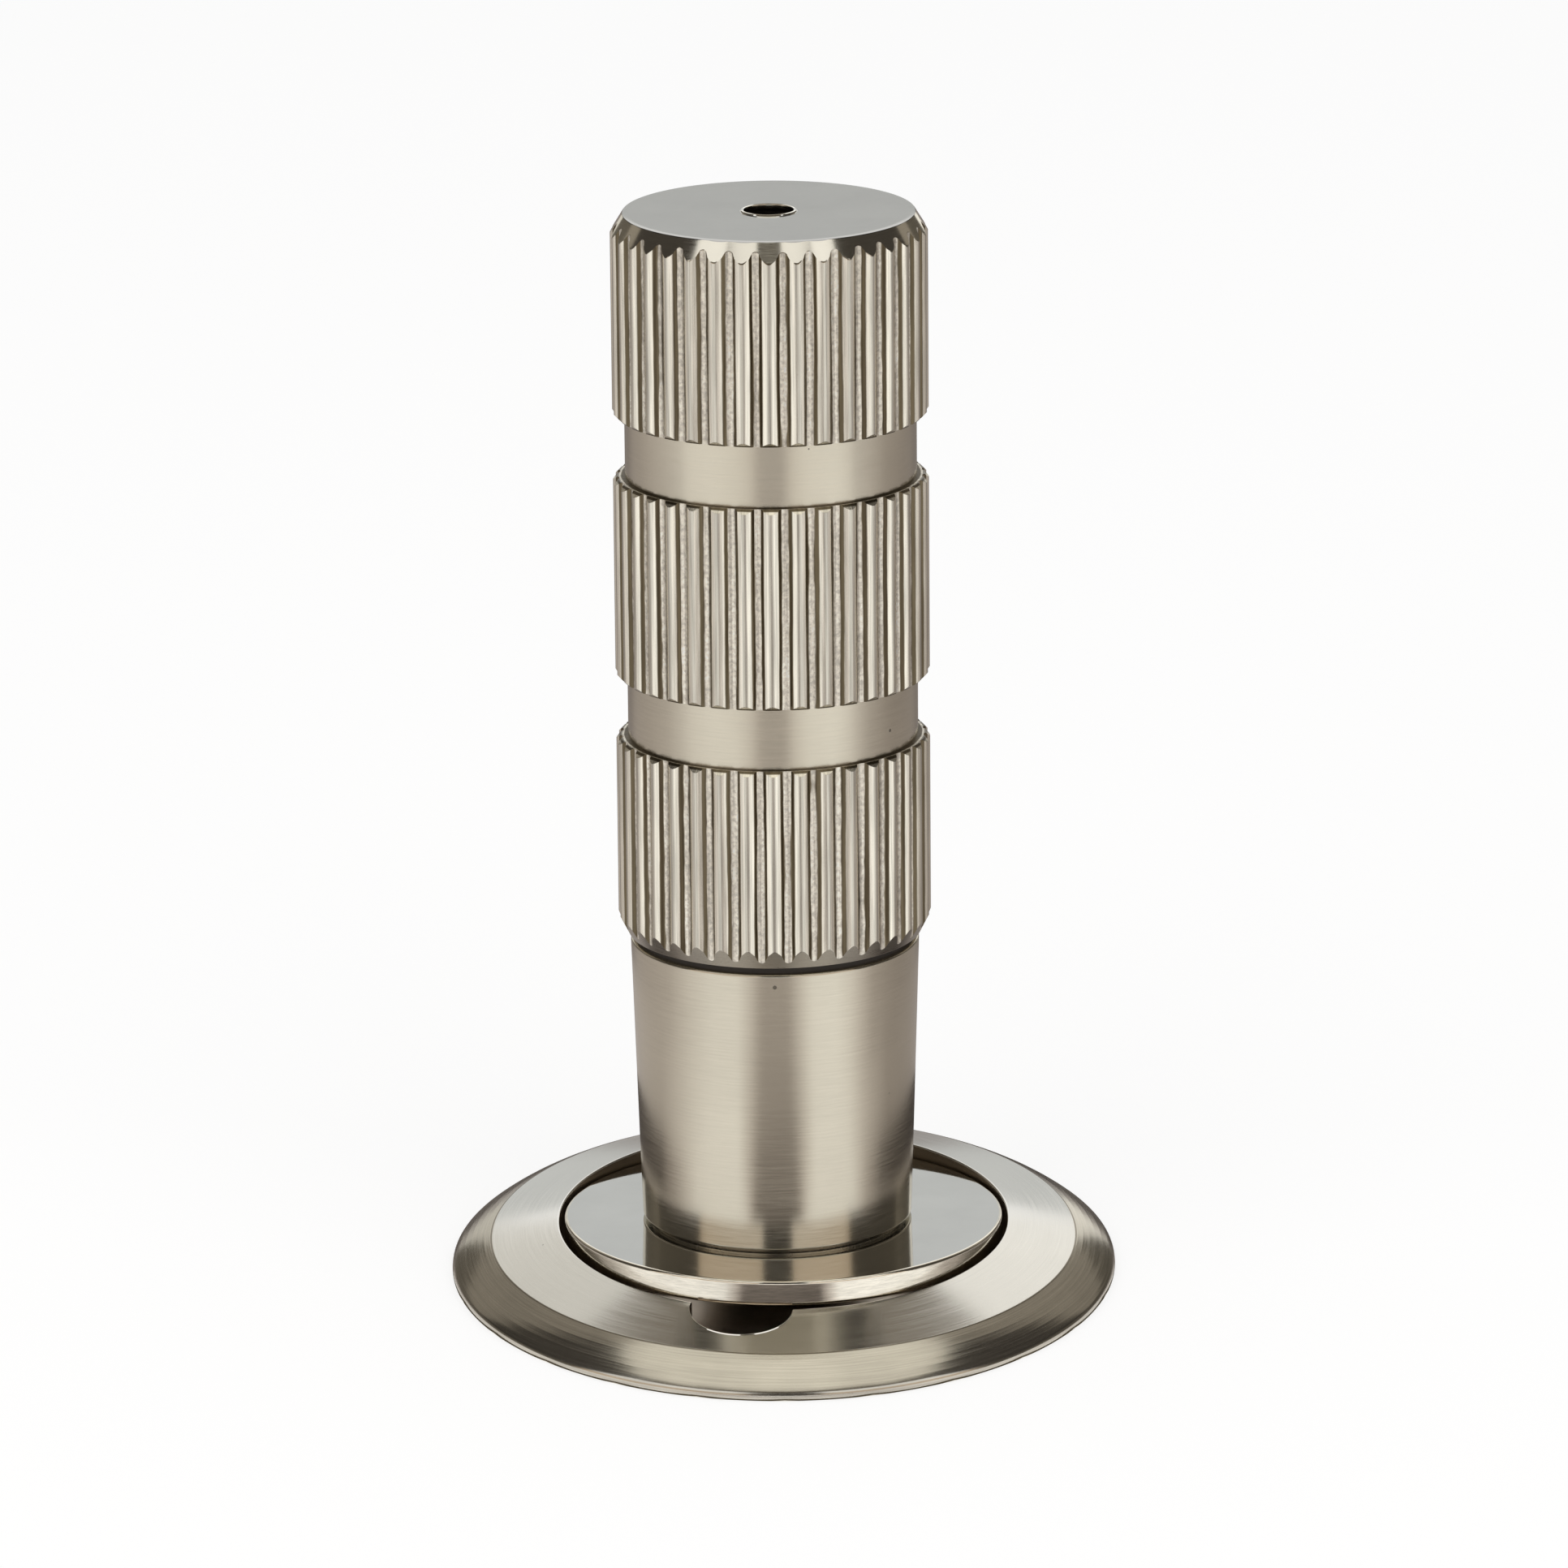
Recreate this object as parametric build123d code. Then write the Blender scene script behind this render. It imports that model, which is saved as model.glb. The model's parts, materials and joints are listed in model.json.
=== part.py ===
"""Magnetic door stop: a fluted wall post whose magnet foot stands on the door catch.

Millimetres, +Z up, origin at the middle of the catch's underside, -Y the front.
The catch is a bevelled ring with a dished floor. A polished strike disc sits on a ball
stud in that dish and leans back on the dish's cone, and the post leans with it.
"""
from math import radians, sqrt, tan
import os

from build123d import *

# Catch ring
ring_r = 22.5            # outer radius of the ring
face_r = 19.85           # where the sloping face turns into the outer bevel
bore_r = 15.2            # opening that the strike disc sits in
rim_h = 1.0              # upright band round the edge
face_h = 2.25            # height of the sloping face at face_r
lip_h = 3.45             # height of the ring at its bore
lip_break = 0.1          # broken edge at the bore

# Pry notch in the ring's inner edge
notch_turn = -10.8       # degrees about +Z from the front, to the left
notch_w = 6.9            # along the edge
notch_reach = 2.8        # out from the bore
notch_depth = 2.0        # down from the lip

# Fixing holes in the dished floor
fix_count = 3
fix_turn = 90            # degrees, puts one hole at the back
fix_ring_r = 8.6
fix_hole_r = 1.6
fix_land = 0.35          # straight part of the hole under the countersink

# Strike disc
disc_gap = 0.35          # radial gap between disc and bore
disc_t = 1.7
disc_proud = 0.25        # top of the level disc above the lip
disc_break = 0.22        # broken edges
lean = 5.5               # degrees that the disc and post lean back
side_sway = 2            # degrees of sideways tilt that the dish leaves room for
dish_gap = 0.08          # between the leaning disc and the dish

# Ball joint under the strike
ball_r = 1.3
ball_drop = 0.35         # ball centre below the disc's underside
neck_r = 0.8
well_floor = 0.55        # floor thickness under the ball joint
joint_gap = 0.1          # between ball and liner, and between liner and socket
liner_t = 0.38
liner_up = 0.6           # liner above and below the ball's centre
liner_down = 0.8
socket_down = 0.75       # socket ring below the ball's centre
socket_wall = 1.35
socket_seat = 0.5        # how deep the socket ring sits in the disc
well_gap = 0.4           # round the socket ring
tail_r = 2.0             # flush riveted end of the ball stud
seat_gap = 0.02          # between fixed pieces that fit in one another

# Post: tapered nose
foot_r = 9.1
nose_top_r = 9.7
nose_l = 19.4
nose_break = 0.3         # broken edge at the foot
post_shift = -0.4        # the foot stands this far to the side of the disc's centre
cup_proud = 0.3          # pole cup's lip below the nose

# Magnet in its pole cup
cup_r = 8.5
cup_h = 5.2
cup_wall = 1.0
cup_base = 1.2
magnet_sink = 0.15       # magnet face above the cup's lip
spacer_w = 0.5
screw_r = 2.0
screw_head_r = 3.8
screw_head_h = 1.8
screw_bite = 3.6         # thread length in the nose
driver_r = 1.2
driver_depth = 1.1

# Joint between nose and sleeve
washer_t = 0.5
washer_inset = 0.45      # washer's edge back from the nose's edge
stud_r = 4.0
stud_bite = 9.0          # thread length in each piece
stud_end_gap = 0.5
stud_break = 0.6
key_flats = 4.0          # hexagon socket across flats
key_depth = 3.5

# Fluted sleeve
band_r = 10.5
band_count = 3
band_l = 13.6
neck_ring_r = 9.7
neck_l = 4.2
top_cone_h = 1.35
top_cone_in = 0.83
end_cone_h = 1.3
end_cone_in = 0.66
flute_count = 36
flute_depth = 0.48
crest_w = 0.6            # flat top of each ridge
root_w = 0.45            # flat bottom of each hollow
wall_hole_r = 1.65       # tapping size of the hole for the wall screw
wall_hole_l = 10.0
wall_hole_break = 0.2

# Worked out from the sizes above
disc_r = bore_r - disc_gap
disc_top = lip_h + disc_proud
disc_under = disc_top - disc_t
pivot_z = disc_under - ball_drop
tilt_limit = sqrt(lean ** 2 + side_sway ** 2)
liner_in = ball_r + joint_gap
liner_out = liner_in + liner_t
socket_in = liner_out + joint_gap
socket_r = socket_in + socket_wall
well_r = socket_r + well_gap
nose_z = disc_top + cup_proud
washer_z = nose_z + nose_l
sleeve_z = washer_z + washer_t
sleeve_l = band_count * band_l + (band_count - 1) * neck_l
magnet_r = cup_r - cup_wall - spacer_w
magnet_t = cup_h - cup_base - magnet_sink
stud_hole_r = stud_r + seat_gap
stud_hole_l = stud_bite + stud_end_gap


def turned(points):
    """A turned piece from its half section, a list of (radius, height) corners."""
    section = Plane.XZ * make_face(Polyline(*points, close=True))
    return revolve(section, Axis.Z)


def rod(radius, low, high):
    """A plain cylinder about Z from one height to another."""
    return Pos(0, 0, low) * Cylinder(radius, high - low, align=(Align.CENTER, Align.CENTER, Align.MIN))


def cone(low_r, high_r, low, high):
    """A cone frustum about Z from one height to another."""
    return Pos(0, 0, low) * Cone(low_r, high_r, high - low, align=(Align.CENTER, Align.CENTER, Align.MIN))


def ball(radius, low, high):
    """The part of a ball round the pivot that lies between two heights."""
    return (Pos(0, 0, pivot_z) * Sphere(radius)) & rod(2 * radius, low, high)


def leaned(piece):
    """Lay a piece modelled upright back by the lean, round the ball's centre."""
    return Pos(0, 0, pivot_z) * Rot(-lean, 0, 0) * Pos(0, 0, -pivot_z) * piece


def on_disc(piece):
    """Stand a piece of the post, modelled upright on the axis, where it stands on the leaning disc."""
    return leaned(Pos(post_shift, 0, 0) * piece)


def dish_z(radius):
    """Height of the dish's cone, which follows the disc's underside at its full tilt."""
    return disc_under - dish_gap - radius * tan(radians(tilt_limit))


def catch_base():
    """Bevelled ring and dished floor in one, with the pry notch and the fixing holes."""
    body = turned([
        (0, 0),
        (ring_r, 0),
        (ring_r, rim_h),
        (face_r, face_h),
        (bore_r + lip_break, lip_h),
        (bore_r, lip_h - lip_break),
        (bore_r, dish_z(bore_r)),
        (well_r, dish_z(well_r)),
        (well_r, well_floor),
        (0, well_floor),
    ])
    body -= pry_notch()
    for index in range(fix_count):
        body -= Rot(0, 0, fix_turn + index * 360 / fix_count) * Pos(fix_ring_r, 0, 0) * fixing_hole()
    return body - stud_tail(seat_gap)


def pry_notch():
    """Half-oval pocket that lets a blade in under the disc."""
    oval = Ellipse(notch_w / 2, notch_reach)
    pocket = extrude(oval, notch_depth + lip_h)
    return Rot(0, 0, notch_turn) * Pos(0, -bore_r, lip_h - notch_depth) * pocket


def fixing_hole():
    """Countersunk hole for a small wood screw."""
    sink_top = disc_under
    sink_r = fix_hole_r + sink_top - fix_land
    return rod(fix_hole_r, -1, sink_top) + cone(fix_hole_r, sink_r, fix_land, sink_top)


def stud_tail(gap=0.0):
    """The end of the ball stud in the floor, riveted flush underneath."""
    tail_h = (tail_r - neck_r) / 2
    return rod(neck_r + gap, 0, well_floor) + cone(tail_r + gap, neck_r + gap, 0, tail_h)


def ball_stud():
    """Ball on a short neck, riveted through the floor."""
    neck_top = pivot_z - sqrt(ball_r ** 2 - neck_r ** 2) / 2
    return Pos(0, 0, pivot_z) * Sphere(ball_r) + rod(neck_r, well_floor, neck_top) + stud_tail()


def socket_liner():
    """Plastic cup ring between the ball and its socket."""
    low, high = pivot_z - liner_down, pivot_z + liner_up
    return leaned(ball(liner_out, low, high) - ball(liner_in, low - 1, high + 1))


def socket_ring():
    """Ring pressed into the underside of the disc, which snaps over the ball."""
    low = pivot_z - socket_down
    high = disc_under + socket_seat
    edge = socket_wall / 4
    ring = turned([(0, low), (socket_r - edge, low), (socket_r, low + edge), (socket_r, high), (0, high)])
    mouth_z = pivot_z + liner_up + joint_gap
    mouth_r = sqrt(socket_in ** 2 - (mouth_z - pivot_z) ** 2)
    hollow = ball(socket_in, low - 1, mouth_z) + rod(mouth_r, pivot_z, high)
    return leaned(ring - hollow)


def strike_disc():
    """Polished steel disc that the magnet holds, with the ball's seat in its underside."""
    edge = disc_break
    body = turned([
        (0, disc_under),
        (disc_r - edge, disc_under),
        (disc_r, disc_under + edge),
        (disc_r, disc_top - edge),
        (disc_r - edge, disc_top),
        (0, disc_top),
    ])
    body -= rod(socket_r + seat_gap, disc_under, disc_under + socket_seat)
    return leaned(body - Pos(0, 0, pivot_z) * Sphere(liner_in))


def pole_cup():
    """Steel cup round the magnet, whose lip meets the disc."""
    low, high = disc_top, disc_top + cup_h
    edge = cup_proud / 2
    cup = turned([(0, low), (cup_r - edge, low), (cup_r, low + edge), (cup_r, high), (0, high)])
    cup -= rod(cup_r - cup_wall, low, high - cup_base)
    return on_disc(cup - rod(screw_r + seat_gap, low, high))


def magnet():
    """Ring magnet with a countersunk hole."""
    low = disc_top + magnet_sink
    body = rod(magnet_r, low, low + magnet_t)
    return on_disc(body - magnet_screw_body(seat_gap))


def magnet_spacer():
    """Brass ring that keeps the magnet clear of the cup's wall."""
    low = disc_top + magnet_sink
    outer = rod(cup_r - cup_wall - seat_gap, low, low + magnet_t)
    return on_disc(outer - rod(magnet_r + seat_gap, low, low + magnet_t))


def magnet_screw_body(gap=0.0):
    """Outline of the countersunk screw, head down in the magnet."""
    head_z = disc_top + magnet_sink + magnet_sink
    tip_z = disc_top + cup_h + screw_bite
    head = cone(screw_head_r + gap, screw_r + gap, head_z, head_z + screw_head_h)
    if gap:
        head += rod(screw_head_r + gap, disc_top, head_z)
    return head + rod(screw_r + gap, head_z, tip_z)


def magnet_screw():
    """Screw that holds magnet and cup in the nose, with a hexagon recess."""
    head_z = disc_top + magnet_sink + magnet_sink
    recess = Pos(0, 0, head_z) * extrude(RegularPolygon(driver_r, 6), driver_depth)
    return on_disc(magnet_screw_body() - recess)


def tapered_nose():
    """Smooth tapered end of the post, bored for the cup, its screw and the joining stud."""
    low, high = nose_z, washer_z
    slope = (nose_top_r - foot_r) / nose_l
    edge = nose_break
    body = turned([
        (0, low),
        (foot_r - edge, low),
        (foot_r + edge * slope, low + edge),
        (nose_top_r, high),
        (0, high),
    ])
    cup_top = disc_top + cup_h
    body -= rod(cup_r + seat_gap, low, cup_top)
    body -= rod(screw_r + seat_gap, cup_top, cup_top + screw_bite + magnet_sink)
    return on_disc(body - rod(stud_hole_r, high - stud_hole_l, high))


def joint_washer():
    """Dark fibre washer that shows as the line between nose and sleeve."""
    washer = rod(nose_top_r - washer_inset, washer_z, sleeve_z)
    return on_disc(washer - rod(stud_hole_r, washer_z, sleeve_z))


def joining_stud():
    """Threaded stud between nose and sleeve, shown plain, with a hexagon socket."""
    low, high = washer_z - stud_bite, sleeve_z + stud_bite
    edge = stud_break
    stud = turned([
        (0, low),
        (stud_r - edge, low),
        (stud_r, low + edge),
        (stud_r, high - edge),
        (stud_r - edge, high),
        (0, high),
    ])
    socket_corner = key_flats / sqrt(3)
    socket = Pos(0, 0, high - key_depth) * extrude(RegularPolygon(socket_corner, 6), key_depth)
    return on_disc(stud - socket)


def fluted_bar():
    """A bar as long as the sleeve with a ridge and a hollow for each flute all round."""
    corners = []
    step = 360 / flute_count
    root_r = band_r - flute_depth
    for index in range(flute_count):
        crest_at = index * step - 90
        corners += [Vector(band_r, side * crest_w / 2).rotate(Axis.Z, crest_at) for side in (-1, 1)]
        corners += [Vector(root_r, side * root_w / 2).rotate(Axis.Z, crest_at + step / 2) for side in (-1, 1)]
    section = make_face(Polyline(*corners, close=True))
    return Pos(0, 0, sleeve_z) * extrude(section, sleeve_l)


def sleeve_outline():
    """The turned outline of the whole sleeve: bands, smooth necks and the cones at its ends."""
    top = sleeve_z + sleeve_l
    corners = [(0, sleeve_z), (band_r - end_cone_in, sleeve_z), (band_r, sleeve_z + end_cone_h)]
    for index in range(1, band_count):
        neck_top = sleeve_z + index * (band_l + neck_l)
        neck_low = neck_top - neck_l
        corners += [(band_r, neck_low), (neck_ring_r, neck_low), (neck_ring_r, neck_top), (band_r, neck_top)]
    corners += [(band_r, top - top_cone_h), (band_r - top_cone_in, top), (0, top)]
    return turned(corners)


def knurled_sleeve():
    """Turned sleeve with three fluted bands, tapped for the wall screw and the stud."""
    top = sleeve_z + sleeve_l
    sleeve = fluted_bar() & sleeve_outline()
    sleeve -= rod(stud_hole_r, sleeve_z, sleeve_z + stud_hole_l)
    sleeve -= rod(wall_hole_r, top - wall_hole_l, top)
    sleeve -= cone(wall_hole_r, wall_hole_r + wall_hole_break, top - wall_hole_break, top)
    return on_disc(sleeve)


pieces = {
    "catch_base": catch_base,
    "ball_stud": ball_stud,
    "socket_liner": socket_liner,
    "socket_ring": socket_ring,
    "strike_disc": strike_disc,
    "pole_cup": pole_cup,
    "magnet_spacer": magnet_spacer,
    "magnet": magnet,
    "magnet_screw": magnet_screw,
    "tapered_nose": tapered_nose,
    "joint_washer": joint_washer,
    "joining_stud": joining_stud,
    "knurled_sleeve": knurled_sleeve,
}

os.makedirs("parts", exist_ok=True)
for node, make in pieces.items():
    export_step(make(), f"parts/{node}.step")
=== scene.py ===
"""Looks of the magnetic door stop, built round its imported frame. +Z up, -Y the front."""
import json
from math import atan2, cos, hypot, pi, radians, sin, sqrt

import bmesh
import bpy
from mathutils import Matrix, Vector, noise


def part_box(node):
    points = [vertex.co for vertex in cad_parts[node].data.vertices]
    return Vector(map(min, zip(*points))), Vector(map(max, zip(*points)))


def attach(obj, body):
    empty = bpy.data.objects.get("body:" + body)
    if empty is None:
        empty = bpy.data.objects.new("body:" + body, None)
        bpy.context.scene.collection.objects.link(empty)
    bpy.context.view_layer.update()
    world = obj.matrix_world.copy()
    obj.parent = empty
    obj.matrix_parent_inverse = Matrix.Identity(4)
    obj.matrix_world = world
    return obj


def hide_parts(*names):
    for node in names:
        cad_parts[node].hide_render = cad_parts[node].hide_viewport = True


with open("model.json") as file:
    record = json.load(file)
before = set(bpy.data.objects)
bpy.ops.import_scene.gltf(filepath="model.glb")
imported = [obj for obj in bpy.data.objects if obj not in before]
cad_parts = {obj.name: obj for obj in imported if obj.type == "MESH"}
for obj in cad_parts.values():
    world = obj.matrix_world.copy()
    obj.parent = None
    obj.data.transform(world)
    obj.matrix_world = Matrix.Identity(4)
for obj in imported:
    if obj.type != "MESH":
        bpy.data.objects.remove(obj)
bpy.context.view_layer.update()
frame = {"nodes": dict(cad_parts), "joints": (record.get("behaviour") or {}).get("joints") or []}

MM = 0.001

# Camera, at the photograph's viewing angle
CAMERA_ELEVATION = 21.05      # degrees
CAMERA_ROLL = -0.49           # degrees
CAMERA_DISTANCE = 642.1       # mm
CAMERA_AIM = (0.29, 0.0, 34.9)
CAMERA_SENSOR = 36.0
CAMERA_LENS = 221.1
CAMERA_CLIP = (0.05, 20)      # metres

# Sleeve, in mm
FLUTE_COUNT = 36
HALF_FLUTE = (                # from a ridge's middle to a hollow: (offset, depth)
    (0.06, 0.003), (0.14, 0.020), (0.24, 0.062), (0.34, 0.112), (0.43, 0.162), (0.49, 0.205),
    (0.55, 0.275), (0.61, 0.345), (0.67, 0.395), (0.75, 0.425), (0.83, 0.442), (0.89, 0.45),
)
RIDGE_POINTS = 6              # of these on the ridge's side of the flute's edge
WALL_SHADE_START = 0.185            # depths at which a flute's wall, painted dark as shade, and its floor begin and end
WALL_SHADE_END = 0.385
FLOOR_START = 0.415
FLOOR_END = 0.5
STEP_SHADE_START = 0.56             # deeper than the flutes: the step down to a neck, painted dark as shade in its corner
BAND_COUNT = 3
NECK_L = 4.2
NECK_R = 9.7
BAND_BEVEL = 0.3              # edges of the bands beside the necks
TOP_CONE_H, TOP_CONE_IN = 1.35, 0.83
END_CONE_H, END_CONE_IN = 1.3, 0.66
CONE_PARTS = (0, 0.06, 0.35, 0.65, 0.94)
CAP_EDGE = 0.1
EDGE_JITTER = 0.05            # how far a flute's edge strays from its place
EDGE_WANDER = 0.03            # how far it wanders on its way up
DEPTH_JITTER = 0.08           # share of the depth
JITTER_GAIN = 1.6             # brings the noise to about -1 to 1
EDGE_SPOT, WANDER_SPOT, DEPTH_SPOT = (3.7, 11.3), (5.1, 2.9), (2.3, 7.7)   # step to an edge, and row, in it
WANDER_RATE, DEPTH_RATE = 0.13, 0.12                                       # per mm up
BAND_ROWS = 14
BAND_HOLD = 0.004             # share of a band's length between the arches and its first row
HOLE_COLUMNS = 72
WALL_HOLE_R = 1.65
WALL_HOLE_MOUTH = 1.85
WALL_HOLE_L = 10.0
HOLE_BEAD = 0.12              # radius of the bead round the hole's mouth
HOLE_BEAD_IN = 0.1            # how far inside the mouth its middle is
THREAD_PITCH = 0.7
THREAD_DEPTH = 0.3
THREAD_TURNS = 9
THREAD_STEPS = 8              # rows to a turn
STUD_HOLE_R = 4.02
STUD_HOLE_L = 9.5

# Nose, in mm
FOOT_R = 9.1
FOOT_EDGE = 0.12
NOSE_TOP_EDGE = 0.2
CUP_BORE_R = 8.52
CUP_BORE_L = 4.9
SCREW_BORE_R = 2.02
SCREW_BORE_L = 3.75

# Catch ring, in mm
RING_R = 22.5
FACE_R = 19.85
FACE_LAND = 0.5               # outer part of the face, whose points lie in circles
FACE_PARTS = (0.35, 0.7, 0.99)
BORE_R = 15.2
RIM_H = 0.5
BEVEL_BULGE = 0.12            # the bevel is slightly domed
BEVEL_STEPS = 6
FACE_H = 2.25
LIP_H = 3.45
RIM_ROUND = 0.25
FOOT_ROUND = 0.15
FACE_ROUND = 0.12
LIP_ROUND = 0.11
CREASE_SHADE_HALF = 0.07            # half the width of the dark line of painted shade between bevel and face
NOTCH_TURN = -10.8            # degrees from the front, to the left
NOTCH_W = 6.9
NOTCH_REACH = 2.8
NOTCH_DEPTH = 2.0
NOTCH_FILLET = 0.25
NOTCH_BURR = 0.09             # its edge stands up a little
NOTCH_STEPS = 40
BISECTIONS = 40
RING_STEPS = 300              # columns round the rest of the bore
WELL_R = 3.63
WELL_FLOOR = 0.55
DISH_TOP_Z = 1.548
DISH_EDGE_Z = 0.362
STUD_TAIL_R = 2.02
STUD_NECK_R = 0.92
FIX_COUNT = 3
FIX_TURN = 90
FIX_RING_R = 8.6
FIX_HOLE_R = 1.6
FIX_LAND = 0.35
FIX_STEPS = 48

# Strike disc, in mm
DISC_R = 14.85
DISC_ROUND = 0.22
SOCKET_R = 3.25
SOCKET_SEAT = 0.5
SEAT_R = 1.4                  # hollow for the ball
SEAT_CLEAR = 0.02
TURNED_COLUMNS = 256          # round the disc and the nose

# Slots of the skins, in the order of their materials
FLUTED, NECK, CAP, THREAD, TOP_CONE, END_CONE, BEAD = range(7)
FACE, BORE_SHADE, DISH, BEVEL, CREASE_SHADE, NOTCH_LIP = range(6)

# Surfaces. Scales are per metre.
NOISE_LOW, NOISE_HIGH = 0.3, 0.7     # most values of a noise texture lie between these
BRUSH_LINES = 9000.0                 # fineness of brushed lines, across them
LINE_SHARE, CLOUD_SHARE = 0.6, 0.4   # of the tone of a brushed surface
CLOUD_SCALE = 160.0
SPECK_SCALE = 380.0
SPECK_FROM = 0.72                    # a speck grows where a cell's own number is above this
SPECK_SIZE = 0.22
SPECK_DARK = 0.6
TOOL_LINES = (60.0, 0.0, 120.0)      # lines along a flute: scale per turn, outward and up
WOBBLE_SCALE, WOBBLE = 700.0, 0.16   # of the depth at which a flute's colours change
STIPPLE_SCALE = 3600.0
STAIN_SCALE = 220.0                  # on polished metal
HAIR_SCALES = (900, 9000, 900)
GRAIN_SCALE = 1500.0                 # of plastic and fibre


# Places of the leaning pieces, read from the frame's joints

joints = {joint["name"]: joint for joint in frame["joints"]}
pivot = Vector(joints["strike_tip"]["pos_m"])
post_axis = Vector(joints["post_pull_off"]["axis"])
post_x = sum(corner.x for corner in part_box("knurled_sleeve")) / 2
lean = Vector((0, 0, 1)).rotation_difference(post_axis).to_matrix().to_4x4()
disc_place = Matrix.Translation(pivot) @ lean @ Matrix.Translation(-pivot)
post_place = disc_place @ Matrix.Translation((post_x, 0, 0))


def own_points(node, place):
    """The points of a CAD node, seen from its own axis."""
    back = place.inverted()
    return [back @ vertex.co for vertex in frame["nodes"][node].data.vertices]


def heights(node, place):
    """Lowest and highest point of a CAD node along its own axis, in mm."""
    found = [point.z / MM for point in own_points(node, place)]
    return min(found), max(found)


def widest(node, place):
    """Largest radius of a CAD node about its own axis, in mm."""
    return max(point.xy.length for point in own_points(node, place)) / MM


# Material nodes

def feed(socket, value):
    """Link a socket to another one, or set its own value."""
    if isinstance(value, bpy.types.NodeSocket):
        socket.id_data.links.new(value, socket)
    else:
        socket.default_value = value


def node_adder(tree):
    """A function that adds a shader node to a tree, with its settings and its inputs."""
    def add(kind, settings=None, **inputs):
        made = tree.nodes.new("ShaderNode" + kind)
        for key, value in (settings or {}).items():
            setattr(made, key, value)
        for key, value in inputs.items():
            feed(made.inputs[key], value)
        return made

    return add


def new_material(name, metallic):
    """A material, the inputs of its shader, and a function that adds nodes to it."""
    material = bpy.data.materials.new(name)
    material.use_nodes = True
    tree = material.node_tree
    shader = tree.nodes["Principled BSDF"].inputs
    shader["Metallic"].default_value = metallic
    return material, shader, node_adder(tree)


def maths(add, operation, *values):
    """The result of a Math node."""
    made = add("Math", {"operation": operation})
    for socket, value in zip(made.inputs, values):
        feed(socket, value)
    return made.outputs[0]


def remap(add, value, low, high, to_low=0.0, to_high=1.0):
    """A value taken from one range to another, and held inside it."""
    made = add("MapRange", Value=value)
    for key, end in (("From Min", low), ("From Max", high), ("To Min", to_low), ("To Max", to_high)):
        made.inputs[key].default_value = end
    return made.outputs[0]


def cloudy(add, place, scale=1.0, detail=3.0, roughness=0.5):
    """The value of a noise texture."""
    return add("TexNoise", Vector=place, Scale=scale, Detail=detail, Roughness=roughness).outputs[0]


def around_axis(add, turns, out, up):
    """Coordinates that run round the piece's own axis: turns, radius and height each times a scale."""
    place = add("TexCoord").outputs["Object"]
    x, y, z = add("SeparateXYZ", Vector=place).outputs
    angle = maths(add, "ARCTAN2", y, x)
    squares = maths(add, "ADD", maths(add, "MULTIPLY", x, x), maths(add, "MULTIPLY", y, y))
    radius = maths(add, "SQRT", squares)
    joined = add(
        "CombineXYZ",
        X=maths(add, "MULTIPLY", angle, turns),
        Y=maths(add, "MULTIPLY", radius, out),
        Z=maths(add, "MULTIPLY", z, up),
    )
    return joined.outputs[0], radius, place


def ramp(add, value, stops):
    """A colour ramp of (place, colour) stops."""
    made = add("ValToRGB", Fac=value)
    elements = made.color_ramp.elements
    while len(elements) < len(stops):
        elements.new(0.5)
    for element, (place, colour) in zip(elements, stops):
        element.position = place
        element.color = (*colour, 1)
    return made.outputs["Color"]


def tinted(add, fac, low, high):
    """A colour between two, by a factor."""
    made = add("Mix", {"data_type": "RGBA"}, Factor=fac, A=(*low, 1), B=(*high, 1))
    return made.outputs["Result"]


def scaled(add, colour, factor):
    """A colour socket times a value socket."""
    return add("VectorMath", {"operation": "SCALE"}, Vector=colour, Scale=factor).outputs[0]


def bumped(add, height, strength, distance):
    """A normal bent by a height, whose full step is the given distance in mm."""
    return add("Bump", Height=height, Strength=strength, Distance=distance * MM).outputs[0]


def shade(colour, factor):
    return tuple(part * factor for part in colour)


def brushed(name, colour, roughness, anisotropy, turns=6.0, grain=0.004, streak=0.07):
    """Satin metal with fine lines brushed round its axis, faint clouds and a few specks."""
    material, shader, add = new_material(name, 1.0)
    lines, _, place = around_axis(add, turns, BRUSH_LINES, BRUSH_LINES)
    streaks = cloudy(add, lines, detail=4.0, roughness=0.65)
    clouds = cloudy(add, place, CLOUD_SCALE)
    specks = add("TexVoronoi", {"feature": "F1"}, Vector=place, Scale=SPECK_SCALE).outputs
    chosen = add("SeparateXYZ", Vector=specks["Color"]).outputs[0]
    reach = maths(add, "MULTIPLY", maths(add, "SUBTRACT", chosen, SPECK_FROM), SPECK_SIZE)
    pits = maths(add, "LESS_THAN", specks["Distance"], reach)
    from_lines = maths(add, "MULTIPLY", streaks, LINE_SHARE)
    from_clouds = maths(add, "MULTIPLY", clouds, CLOUD_SHARE)
    spread = remap(add, maths(add, "ADD", from_lines, from_clouds), NOISE_LOW, NOISE_HIGH)
    plain = tinted(add, spread, shade(colour, 1 - streak), shade(colour, 1 + streak))
    clean = maths(add, "SUBTRACT", 1.0, maths(add, "MULTIPLY", pits, SPECK_DARK))
    feed(shader["Base Color"], scaled(add, plain, clean))
    feed(shader["Roughness"], remap(add, streaks, NOISE_LOW, NOISE_HIGH, roughness * 0.8, roughness * 1.2))
    feed(shader["Normal"], bumped(add, streaks, strength=0.5, distance=grain))
    feed(shader["Anisotropic"], anisotropy)
    feed(shader["Anisotropic Rotation"], 0.25)
    feed(shader["Tangent"], add("Tangent", {"direction_type": "RADIAL", "axis": "Z"}).outputs[0])
    return material


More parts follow.
